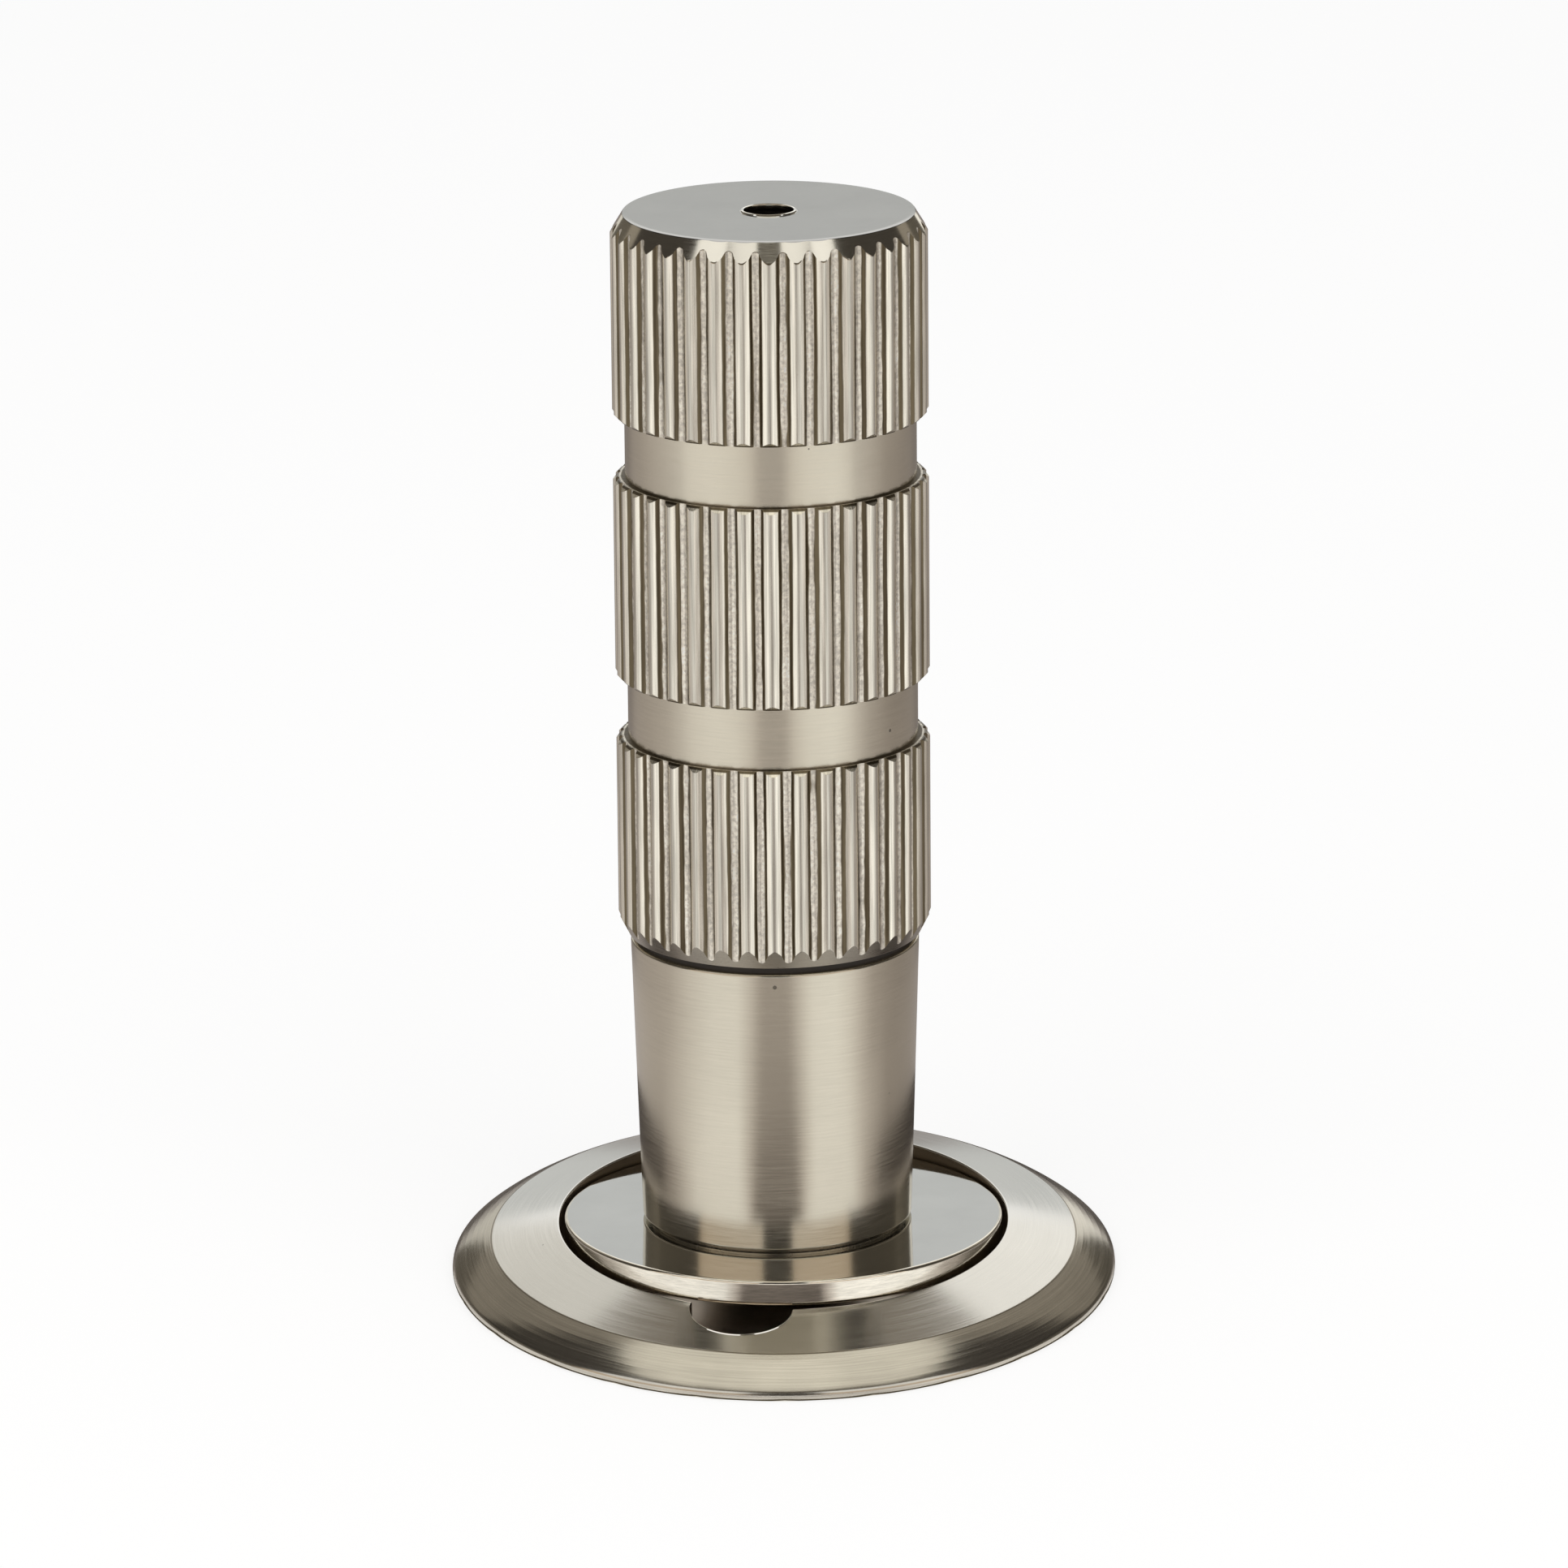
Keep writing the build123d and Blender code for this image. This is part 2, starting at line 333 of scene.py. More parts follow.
def fluted_metal(name, ridge, wall_shade, hollow, roughness):
    """Plated flutes: smooth ridges with a darker middle and lighter shoulders painted on as highlights,
    thin walls painted dark as shade, stippled floors with tool lines along them, and the step down to a
    neck painted dark as shade.
    """
    material, shader, add = new_material(name, 1.0)
    lines, radius, place = around_axis(add, *TOOL_LINES)
    reach = BAND_R - NECK_R
    depth = remap(add, radius, BAND_R * MM, NECK_R * MM)
    wobble = cloudy(add, place, WOBBLE_SCALE, detail=2.0)
    uneven = maths(add, "ADD", maths(add, "MULTIPLY", wobble, WOBBLE), 1 - WOBBLE / 2)
    shaken = maths(add, "MULTIPLY", depth, uneven)
    tones = (                 # (depth in mm, colour): ridge middle darker and shoulders lighter as painted highlights, walls and step painted dark as shade
        (0.012, shade(ridge, 0.70)), (0.045, ridge), (WALL_SHADE_START * 0.84, ridge),
        (WALL_SHADE_START * 1.08, wall_shade), (WALL_SHADE_END, wall_shade),
        (FLOOR_START, hollow), (FLOOR_END, hollow), (STEP_SHADE_START, wall_shade),
    )
    toned = ramp(add, shaken, [(level / reach, colour) for level, colour in tones])
    in_floor = remap(add, shaken, WALL_SHADE_END / reach, FLOOR_START / reach)
    stipple = cloudy(add, place, STIPPLE_SCALE, roughness=0.6)
    drag = cloudy(add, lines, roughness=0.6)
    dots = remap(add, stipple, 0.36, 0.62, to_low=0.72, to_high=1.12)
    dotted = add("Mix", {"data_type": "FLOAT"}, Factor=in_floor, A=1.0, B=dots).outputs[0]
    worn = maths(add, "MULTIPLY", dotted, remap(add, drag, 0.36, 0.60, to_low=0.74, to_high=1.08))
    feed(shader["Base Color"], scaled(add, toned, worn))
    feed(shader["Roughness"], remap(add, in_floor, 0.0, 1.0, roughness, roughness * 1.9))
    rough_floor = maths(add, "MULTIPLY", in_floor, stipple)
    grain = maths(add, "ADD", rough_floor, maths(add, "MULTIPLY", drag, 0.35))
    feed(shader["Normal"], bumped(add, grain, strength=0.6, distance=0.03))
    return material


def polished(name, colour, roughness):
    """Smooth metal with faint clouds and hairline scratches."""
    material, shader, add = new_material(name, 1.0)
    place = add("TexCoord").outputs["Object"]
    stains = cloudy(add, place, STAIN_SCALE, detail=4.0)
    hairs = cloudy(add, add("Mapping", Vector=place, Scale=HAIR_SCALES).outputs[0], detail=2.0)
    spread = remap(add, stains, NOISE_LOW, NOISE_HIGH)
    feed(shader["Base Color"], tinted(add, spread, shade(colour, 0.95), shade(colour, 1.03)))
    feed(shader["Roughness"], remap(add, hairs, NOISE_LOW, 0.75, roughness, roughness * 1.3))
    feed(shader["Normal"], bumped(add, hairs, strength=0.12, distance=0.003))
    return material


def moulded(name, colour, roughness):
    """Dull plastic or pressed fibre with a fine grain."""
    material, shader, add = new_material(name, 0.0)
    grain = cloudy(add, add("TexCoord").outputs["Object"], GRAIN_SCALE, detail=4.0)
    spread = remap(add, grain, NOISE_LOW, NOISE_HIGH)
    feed(shader["Base Color"], tinted(add, spread, shade(colour, 0.85), shade(colour, 1.1)))
    feed(shader["Roughness"], remap(add, grain, NOISE_LOW, NOISE_HIGH, roughness * 0.9, roughness * 1.1))
    feed(shader["Normal"], bumped(add, grain, strength=0.4, distance=0.01))
    return material


# Mesh helpers

def rounded(points, cuts, steps=4):
    """An outline whose corners at the given places are cut back by the given lengths and rounded."""
    made = []
    for index, point in enumerate(points):
        cut = cuts.get(index, 0)
        if not cut:
            made.append(point)
            continue
        corner = Vector(point)
        before = Vector(points[index - 1]) - corner
        after = Vector(points[(index + 1) % len(points)]) - corner
        start = corner + before.normalized() * min(cut, before.length / 2)
        end = corner + after.normalized() * min(cut, after.length / 2)
        for step in range(steps + 1):
            part = step / steps
            bend = start * (1 - part) ** 2 + corner * 2 * part * (1 - part) + end * part ** 2
            made.append(tuple(bend))
    return made


def held(points, close=0.02, shortest=0.3):
    """An outline with a point close to both ends of each long run, which keeps shading narrow at edges."""
    made = [points[0]]
    for start, end in zip(points, points[1:]):
        run = Vector(end) - Vector(start)
        if run.length > shortest:
            step = run.normalized() * close
            made += [tuple(Vector(start) + step), tuple(Vector(end) - step)]
        made.append(end)
    return made


def full_turn(count):
    """Evenly spaced angles round a circle."""
    return [2 * pi * step / count for step in range(count)]


def joined_rows(first, rows, count):
    """Faces between rows of count points each, the first of which starts at point first."""
    faces = []
    for row in range(rows - 1):
        low, high = first + row * count, first + (row + 1) * count
        for column in range(count):
            after = (column + 1) % count
            faces.append((low + column, low + after, high + after, high + column))
    return faces


def make_object(name, vertices, faces, face_slots, materials, place, body, replaced):
    """A piece in mm, put in place in metres on its body."""
    mesh = bpy.data.meshes.new(name)
    mesh.from_pydata([Vector(vertex) * MM for vertex in vertices], [], faces)
    for material in materials:
        mesh.materials.append(material)
    mesh.polygons.foreach_set("material_index", face_slots)
    tidy = bmesh.new()
    tidy.from_mesh(mesh)
    bmesh.ops.remove_doubles(tidy, verts=tidy.verts, dist=1e-7)
    bmesh.ops.dissolve_degenerate(tidy, edges=tidy.edges, dist=1e-8)
    bmesh.ops.recalc_face_normals(tidy, faces=tidy.faces)
    tidy.to_mesh(mesh)
    tidy.free()
    piece = bpy.data.objects.new(name, mesh)
    bpy.context.scene.collection.objects.link(piece)
    piece.matrix_world = place
    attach(piece, body)
    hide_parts(replaced)
    return piece


def smooth(piece, sharp=32):
    piece.data.shade_smooth()
    piece.data.set_sharp_from_angle(angle=radians(sharp))


def turned_piece(name, outline, material, place, body, replaced):
    """A turned piece from its half outline of (radius, height) points."""
    angles = full_turn(TURNED_COLUMNS)
    vertices = [(r * cos(a), r * sin(a), z) for r, z in outline for a in angles]
    faces = joined_rows(0, len(outline), TURNED_COLUMNS)
    piece = make_object(name, vertices, faces, [0] * len(faces), [material], place, body, replaced)
    smooth(piece)
    return piece


# Fluted sleeve. A row of points is a list of (angle, radius, height).

sleeve_low, sleeve_high = heights("knurled_sleeve", post_place)
BAND_R = widest("knurled_sleeve", post_place)
BAND_L = (sleeve_high - sleeve_low - (BAND_COUNT - 1) * NECK_L) / BAND_COUNT


def flute_columns():
    """For each column round the sleeve: its place along the band, its depth, the two flute edges it lies
    between, and its share of the way from one to the other."""
    pitch = 2 * pi * BAND_R / FLUTE_COUNT
    ridge, hollow = HALF_FLUTE[:RIDGE_POINTS], HALF_FLUTE[RIDGE_POINTS:]
    edge = hollow[0][0]
    columns = []
    for flute in range(FLUTE_COUNT):
        start, end = flute * pitch, flute * pitch + pitch
        sides = (2 * flute, 2 * flute + 1)
        for offset, depth in hollow:
            columns.append((start + offset, depth, *sides, (offset - edge) / (pitch - 2 * edge)))
        for offset, depth in hollow[::-1]:
            columns.append((end - offset, depth, *sides, 1 - (offset - edge) / (pitch - 2 * edge)))
        sides = (2 * flute + 1, 2 * flute + 2)
        for offset, depth in ridge[::-1]:
            columns.append((end - offset, depth, *sides, 0.5 - offset / (2 * edge)))
        for offset, depth in ridge:
            columns.append((end + offset, depth, *sides, 0.5 + offset / (2 * edge)))
    return columns


def noise_at(spot, edge, up=0.0):
    """The noise at a flute's edge, in the row of the noise given by a spot."""
    step, row = spot
    return noise.noise(Vector((edge * step, row, up)))


def stray(edge, height):
    """How far a flute's edge is from its place at a height."""
    edge = edge % (2 * FLUTE_COUNT)
    still = noise_at(EDGE_SPOT, edge)
    moving = noise_at(WANDER_SPOT, edge, height * WANDER_RATE)
    return EDGE_JITTER * JITTER_GAIN * still + EDGE_WANDER * JITTER_GAIN * moving


def flute_point(column, height):
    """Angle and depth of a flute column at a height."""
    along, depth, left, right, share = column
    along += stray(left, height) * (1 - share) + stray(right, height) * share
    uneven = 1 + DEPTH_JITTER * JITTER_GAIN * noise_at(DEPTH_SPOT, left, height * DEPTH_RATE)
    return along / BAND_R - pi / 2, depth * uneven


def between(start, end, part):
    """The point at a share of the way between two."""
    return tuple(low + (high - low) * part for low, high in zip(start, end))


def end_rows(columns, edge, inward, cone_h, cone_in):
    """Rows of the cone at one end of a band, and the row of arches where the flutes run out in it."""
    outer, arch = [], []
    for column in columns:
        angle, depth = flute_point(column, edge)
        reach = cone_h * max(0.0, 1 - depth / cone_in)
        outer.append((angle, BAND_R - max(cone_in, depth), edge))
        arch.append((angle, BAND_R - depth, edge + inward * reach))
    cone = [[between(start, end, part) for start, end in zip(outer, arch)] for part in CONE_PARTS]
    return cone, arch


def band_rows(columns, low, high, low_end, high_end):
    """Rows of one fluted band, from the height and inset of the cone at each of its ends."""
    low_cone, low_arch = end_rows(columns, low, 1, *low_end)
    high_cone, high_arch = end_rows(columns, high, -1, *high_end)
    parts = [BAND_HOLD] + [step / BAND_ROWS for step in range(1, BAND_ROWS)] + [1 - BAND_HOLD]
    middle = []
    for part in parts:
        row = []
        for column, (_, _, start), (_, _, end) in zip(columns, low_arch, high_arch):
            height = start + (end - start) * part
            angle, depth = flute_point(column, height)
            row.append((angle, BAND_R - depth, height))
        middle.append(row)
    return low_cone, [low_arch] + middle + [high_arch], high_cone[::-1]


def plain_row(columns, radius, height):
    return [(column[0] / BAND_R - pi / 2, radius, height) for column in columns]


def hole_rows(outline):
    """Rows of a plain hole from its (radius, height) outline."""
    return [[(a - pi / 2, r, z) for a in full_turn(HOLE_COLUMNS)] for r, z in outline]


def mouth_rows(mouth_z):
    """Rows of the bead round the tapped hole's mouth."""
    bead = []
    for turn in (0, 45, 90, 135):
        out, up = HOLE_BEAD * cos(radians(turn)), HOLE_BEAD * sin(radians(turn))
        bead.append((WALL_HOLE_MOUTH - HOLE_BEAD_IN + out, mouth_z + up))
    return hole_rows([(WALL_HOLE_MOUTH + 0.05, mouth_z), *bead, (WALL_HOLE_MOUTH - 0.2, mouth_z - 0.03)])


def thread_rows(mouth_z, bottom_z):
    """Rows of the tapped hole's helical groove, down to its bottom."""
    rows = []
    top = mouth_z - (WALL_HOLE_MOUTH - WALL_HOLE_R)
    last = THREAD_TURNS * THREAD_STEPS
    for step in range(last + 1):
        row = []
        fade = min(1.0, step / THREAD_STEPS, (last - step) / THREAD_STEPS)
        for column, angle in enumerate(full_turn(HOLE_COLUMNS)):
            phase = (step / THREAD_STEPS + column / HOLE_COLUMNS) % 1
            groove = THREAD_DEPTH * (1 - abs(2 * phase - 1)) * fade
            row.append((angle - pi / 2, WALL_HOLE_R + groove, top - step * THREAD_PITCH / THREAD_STEPS))
        rows.append(row)
    return rows + hole_rows([(WALL_HOLE_R, bottom_z), (0.0, bottom_z)])


def sleeve_strips(columns):
    """Strips of rows that share a slot, from the sleeve's lower end to the rim of its top face."""
    strips = []
    for band in range(BAND_COUNT):
        first, last = band == 0, band == BAND_COUNT - 1
        low = sleeve_low + band * (BAND_L + NECK_L)
        high = low + BAND_L
        low_end = (END_CONE_H, END_CONE_IN) if first else (BAND_BEVEL, BAND_BEVEL)
        high_end = (TOP_CONE_H, TOP_CONE_IN) if last else (BAND_BEVEL, BAND_BEVEL)
        low_cone, body, high_cone = band_rows(columns, low, high, low_end, high_end)
        if not first:
            neck = [plain_row(columns, NECK_R, low - NECK_L + part * NECK_L) for part in (0, 0.5, 1)]
            strips.append((NECK, neck))
            strips.append((FLUTED, [plain_row(columns, NECK_R, low), low_cone[0]]))
        strips.append((END_CONE if first else FLUTED, low_cone + [body[0]]))
        strips.append((FLUTED, body))
        if last:
            rim = high_cone[-2]
            strips.append((TOP_CONE, [body[-1]] + high_cone[:-1]))
        else:
            strips.append((FLUTED, [body[-1]] + high_cone))
            strips.append((FLUTED, [high_cone[-1], plain_row(columns, NECK_R, high)]))
    cap_r = BAND_R - TOP_CONE_IN
    strips.append((CAP, [
        rim,
        plain_row(columns, cap_r + CAP_EDGE * 0.45, sleeve_high - CAP_EDGE * 0.9),
        plain_row(columns, cap_r, sleeve_high - CAP_EDGE * 0.2),
        plain_row(columns, cap_r - CAP_EDGE, sleeve_high),
        plain_row(columns, cap_r - 4 * CAP_EDGE, sleeve_high),
    ]))
    return strips


def sleeve_piece(materials):
    """The whole sleeve as one skin: stud hole, bands and necks, top face and tapped hole."""
    vertices, faces, slots = [], [], []

    def add_faces(made, slot):
        faces.extend(made)
        slots.extend([slot] * len(made))

    def add_rows(rows, slot):
        """Joined rows. Returns the places of the first point of the first row and of the last."""
        first, count = len(vertices), len(rows[0])
        for row in rows:
            vertices.extend((r * cos(a), r * sin(a), z) for a, r, z in row)
        add_faces(joined_rows(first, len(rows), count), slot)
        return first, len(vertices) - count

    columns = flute_columns()
    share = len(columns) // HOLE_COLUMNS

    def add_ring(outer, inner, slot):
        """A flat ring between a row of all columns and the row of a hole with fewer."""
        made = []
        for step in range(HOLE_COLUMNS):
            rim = [outer + (step * share + part) % len(columns) for part in range(share + 1)]
            made.append((inner + step, *rim, inner + (step + 1) % HOLE_COLUMNS))
        add_faces(made, slot)

    starts = [add_rows(rows, slot) for slot, rows in sleeve_strips(columns)]
    stud_top = sleeve_low + STUD_HOLE_L
    stud_hole = hole_rows([(STUD_HOLE_R, sleeve_low), (STUD_HOLE_R, stud_top), (0.0, stud_top)])
    stud_start, _ = add_rows(stud_hole, NECK)
    mouth = mouth_rows(sleeve_high)
    thread = thread_rows(sleeve_high, sleeve_high - WALL_HOLE_L)
    wall_start, _ = add_rows(mouth + thread[:1], BEAD)
    add_rows(thread, THREAD)
    add_ring(starts[0][0], stud_start, NECK)
    add_ring(starts[-1][1], wall_start, CAP)
    piece = make_object(
        "fluted_sleeve_skin", vertices, faces, slots, materials,
        post_place, "post", "knurled_sleeve",
    )
    smooth(piece, sharp=38)


# Catch ring

def notch_outline():
    """The notch's edge on the bore: (angle from the notch's middle, radius) pairs from end to end."""
    half_w = NOTCH_W / 2

    def point(turn):
        across, outward = half_w * sin(turn), BORE_R + NOTCH_REACH * cos(turn)
        return atan2(across, outward), hypot(across, outward)

    low, high = pi / 2, pi * 0.75
    for _ in range(BISECTIONS):
        middle = (low + high) / 2
        if point(middle)[1] > BORE_R:
            low = middle
        else:
            high = middle
    return [point(low * (2 * step / NOTCH_STEPS - 1)) for step in range(NOTCH_STEPS + 1)]


def face_z(radius):
    """Height of the sloping face at a radius."""
    slope = (LIP_H - FACE_H) / (FACE_R - BORE_R)
    return FACE_H + (FACE_R - radius) * slope


def bevel_points():
    """Points between the ends of the domed bevel."""
    run, rise = FACE_R - RING_R, FACE_H - RIM_H
    length = hypot(run, rise)
    made = []
    for step in range(1, BEVEL_STEPS):
        part = step / BEVEL_STEPS
        out = BEVEL_BULGE * 4 * part * (1 - part)
        made.append((RING_R + run * part + out * rise / length, RIM_H + rise * part - out * run / length))
    return made


def ring_columns():
    """(angle, inner radius of the face) for each column, closer together along the notch."""
    middle = radians(-90 + NOTCH_TURN)
    columns = [(middle + angle, max(radius, BORE_R)) for angle, radius in notch_outline()]
    start, end = columns[-1][0], columns[0][0] + 2 * pi
    columns += [(start + (end - start) * step / RING_STEPS, BORE_R) for step in range(1, RING_STEPS)]
    return columns


def fixing_cutter():
    """The countersunk holes in the dish, as one tool to cut with."""
    tool = bmesh.new()
    top = DISH_TOP_Z + 1
    sink_r = FIX_HOLE_R + top - FIX_LAND
    for index in range(FIX_COUNT):
        turn = radians(FIX_TURN + index * 360 / FIX_COUNT)
        middle = Vector((FIX_RING_R * cos(turn), FIX_RING_R * sin(turn), 0))
        rows = []
        for radius, height in ((FIX_HOLE_R, -1), (FIX_HOLE_R, FIX_LAND), (sink_r, top)):
            circle = [Vector((radius * cos(a), radius * sin(a), height)) for a in full_turn(FIX_STEPS)]
            rows.append([tool.verts.new((middle + point) * MM) for point in circle])
        for low, high in zip(rows, rows[1:]):
            for step in range(FIX_STEPS):
                after = (step + 1) % FIX_STEPS
                tool.faces.new((low[step], low[after], high[after], high[step]))
        tool.faces.new(rows[0][::-1])
        tool.faces.new(rows[-1])
    mesh = bpy.data.meshes.new("fixing_cutter")
    tool.to_mesh(mesh)
    tool.free()
    cutter = bpy.data.objects.new("fixing_cutter", mesh)
    bpy.context.scene.collection.objects.link(cutter)
    return cutter


def cut_holes(piece):
    """Cut the fixing holes out of a piece, in its mesh."""
    cutter = fixing_cutter()
    holes = piece.modifiers.new("fixing_holes", "BOOLEAN")
    holes.object = cutter
    holes.solver = "EXACT"
    graph = bpy.context.evaluated_depsgraph_get()
    cut = bpy.data.meshes.new_from_object(piece.evaluated_get(graph))
    piece.modifiers.clear()
    piece.data = cut
    bpy.data.objects.remove(cutter)


def ring_rows(columns):
    """Rows of the ring from its underside, over bevel and face, down the bore and across the dish, and the
    numbers of the rows where face, notch lip, bore and dish begin."""
    land_r = FACE_R - FACE_LAND
    corners = [(STUD_TAIL_R, 0), (RING_R, 0), (RING_R, RIM_H), *bevel_points(), (FACE_R, FACE_H)]
    corners.append((land_r, face_z(land_r)))
    outside = held(rounded(corners, {1: FOOT_ROUND, 2: RIM_ROUND, len(corners) - 2: FACE_ROUND}))
    rows = [[(angle, r, z) for angle, _ in columns] for r, z in outside]
    for part in FACE_PARTS:
        radii = [land_r + (r + LIP_ROUND - land_r) * part for _, r in columns]
        rows.append([(angle, r, face_z(r)) for (angle, _), r in zip(columns, radii)])
    for turn in (0, 22.5, 45, 67.5, 90):
        back, down = LIP_ROUND * (1 - sin(radians(turn))), LIP_ROUND * (1 - cos(radians(turn)))
        burr = NOTCH_BURR * sin(radians(2 * turn))
        rows.append([
            (a, r + back, face_z(r + LIP_ROUND) - down + burr * (0 < column < NOTCH_STEPS))
            for column, (a, r) in enumerate(columns)
        ])
    bore_row = len(rows) - 1
    floor_z = LIP_H - NOTCH_DEPTH
    for back, up in ((0.0, NOTCH_FILLET), (NOTCH_FILLET * 0.3, NOTCH_FILLET * 0.3), (NOTCH_FILLET, 0.0)):
        rows.append([(a, max(BORE_R, r - back), floor_z + up) for a, r in columns])
    dish_row = len(rows) + 1
    inside = [(BORE_R, floor_z - 0.001), (BORE_R, DISH_EDGE_Z)]
    inside += [(WELL_R, DISH_TOP_Z), (WELL_R, WELL_FLOOR), (STUD_NECK_R, WELL_FLOOR), (STUD_TAIL_R, 0)]
    rows += [[(angle, r, z) for angle, _ in columns] for r, z in inside]
    return rows, (len(outside), len(outside) + len(FACE_PARTS) - 1, bore_row, dish_row)


def catch_piece(materials):
    """Bevelled ring with its dish, the pry notch and the countersunk holes."""
    columns = ring_columns()
    rows, (face_row, lip_row, bore_row, dish_row) = ring_rows(columns)
    vertices = [(r * cos(a), r * sin(a), z) for row in rows for a, r, z in row]
    faces = joined_rows(0, len(rows), len(columns))

    def slot_of(row, column):
        in_notch = column < NOTCH_STEPS
        radius = 0.5 * (rows[row][0][1] + rows[row + 1][0][1])
        if row >= bore_row:
            return DISH if in_notch or row >= dish_row else BORE_SHADE
        if row >= lip_row and in_notch:
            return NOTCH_LIP
        if abs(radius - FACE_R) < CREASE_SHADE_HALF:
            return CREASE_SHADE
        return BEVEL if row < face_row and radius > FACE_R else FACE

    slots = [slot_of(*divmod(index, len(columns))) for index in range(len(faces))]
    piece = make_object(
        "catch_ring_skin", vertices, faces, slots, materials,
        Matrix.Identity(4), "catch", "catch_base",
    )
    cut_holes(piece)
    smooth(piece, sharp=30)


# Disc and nose

def disc_piece(face_metal, edge_metal):
    """Strike disc with rounded edges, and the seat for its ball joint underneath."""
    low, high = heights("strike_disc", disc_place)
    centre_z = pivot.z / MM
    seat_top = low + SOCKET_SEAT
    mouth_r = sqrt(SEAT_R ** 2 - (seat_top - centre_z) ** 2)
    turns = [radians(turn) for turn in (52, 60, 70, 80)]
    dome = [(SEAT_R * cos(turn), centre_z + SEAT_R * sin(turn)) for turn in turns]
    dome = [(r, z) for r, z in dome if z > seat_top + SEAT_CLEAR]
    corners = [(0.0, high), (DISC_R / 2, high), (DISC_R, high), (DISC_R, low), (SOCKET_R, low)]
    corners.append((SOCKET_R, seat_top))
    skin = held(rounded(corners, {2: DISC_ROUND, 3: DISC_ROUND}, 5))
    outline = skin + [(mouth_r, seat_top)] + dome + [(0.0, centre_z + SEAT_R)]
    piece = turned_piece(
        "strike_disc_skin", outline, face_metal, disc_place, "strike", "strike_disc",
    )
    piece.data.materials.append(edge_metal)
    for face in piece.data.polygons:
        face.material_index = int(face.center.xy.length > (DISC_R - 0.9 * DISC_ROUND) * MM)


def nose_piece(material):
    """Tapered nose with broken edges, bored for the magnet's cup, its screw and the stud."""
    low, high = heights("tapered_nose", post_place)
    top_r = widest("tapered_nose", post_place)
    corners = [(CUP_BORE_R, low), (FOOT_R, low), (top_r, high), (STUD_HOLE_R, high)]
    skin = held(rounded(corners, {1: FOOT_EDGE, 2: NOSE_TOP_EDGE}))
    cup_top = low + CUP_BORE_L
    screw_top = cup_top + SCREW_BORE_L
    hollow = [(0.0, screw_top), (SCREW_BORE_R, screw_top), (SCREW_BORE_R, cup_top), (CUP_BORE_R, cup_top)]
    end = [(STUD_HOLE_R, high - STUD_HOLE_L), (0.0, high - STUD_HOLE_L)]
    turned_piece(
        "tapered_nose_skin", hollow + skin + end, material,
        post_place, "post", "tapered_nose",
    )


# Studio. Azimuths run from the front, to the right, in degrees; radii and levels are in metres.

FLOOR_HALF = 3.0
FLOOR_DROP = 0.00005
FLOOR_GREY = (0.4, 0.4, 0.4)
FLOOR_WHITE = 0.72            # glow of the floor where it is seen, beside the lamps' light
WORLD_LEVEL = 0.55            # light from all round on the object
LAMP_AZIMUTHS = {"lamp_left": -48, "lamp_right": 46}
LAMP_ELEVATION = 40
LAMP_DISTANCE = 0.55
LAMP_SIZE = 0.42
LAMP_WATTS = 0.42
LAMP_COLOUR = (1.0, 0.97, 0.92)
LAMP_AIM = (0, 0, 0.035)

# Graded cards on the floor: inner and outer radius, then (azimuth, brightness) stops
CARDS = {
    "card_beside": (0.0229, 0.0262, (
        (-180, 0.10), (-100, 0.14), (-75, 0.80), (75, 0.80), (100, 0.12), (180, 0.10),
    )),
    "card_inner": (0.0262, 0.036, (
        (-180, 0.06), (-100, 0.10), (-80, 0.45), (-62, 0.95), (-24, 1.0), (-16, 0.16),
        (14, 0.12), (22, 1.0), (58, 1.0), (72, 0.40), (86, 0.06), (180, 0.05),
    )),
    "card_wall": (0.036, 0.058, (
        (-180, 0.40), (-130, 0.52), (-100, 0.55), (-72, 0.82), (-54, 0.97), (-30, 1.0), (-22, 0.60),
        (-14, 0.22), (13, 0.20), (21, 0.60), (29, 1.0), (54, 1.0), (72, 0.66), (96, 0.40), (180, 0.34),
    )),
    "card_middle": (0.058, 0.19, (
        (-180, 0.24), (-150, 0.26), (-136, 0.40), (-115, 0.46), (-90, 0.55), (-68, 0.81), (-50, 0.96),
        (-30, 0.98), (-20, 0.76), (-11, 0.46), (9, 0.46), (18, 0.76), (27, 1.0), (46, 1.03),
        (60, 0.86), (80, 0.45), (106, 0.34), (140, 0.32), (152, 0.24), (180, 0.24),
    )),
    "card_outer": (0.19, 1.0, (
        (-180, 0.24), (-150, 0.26), (-136, 0.40), (-124, 0.46), (-92, 0.72), (-67, 0.95), (-46, 1.0),
        (-28, 0.96), (-17, 0.88), (-9, 0.52), (8, 0.50), (16, 0.88), (27, 1.0), (52, 1.05),
        (68, 0.90), (80, 0.77), (101, 0.48), (140, 0.31), (152, 0.24), (180, 0.24),
    )),
}
CARD_STEP = 2                 # degrees
GREEN_FALL, BLUE_FALL = 0.14, 0.21   # how much warmer a card gets as it darkens

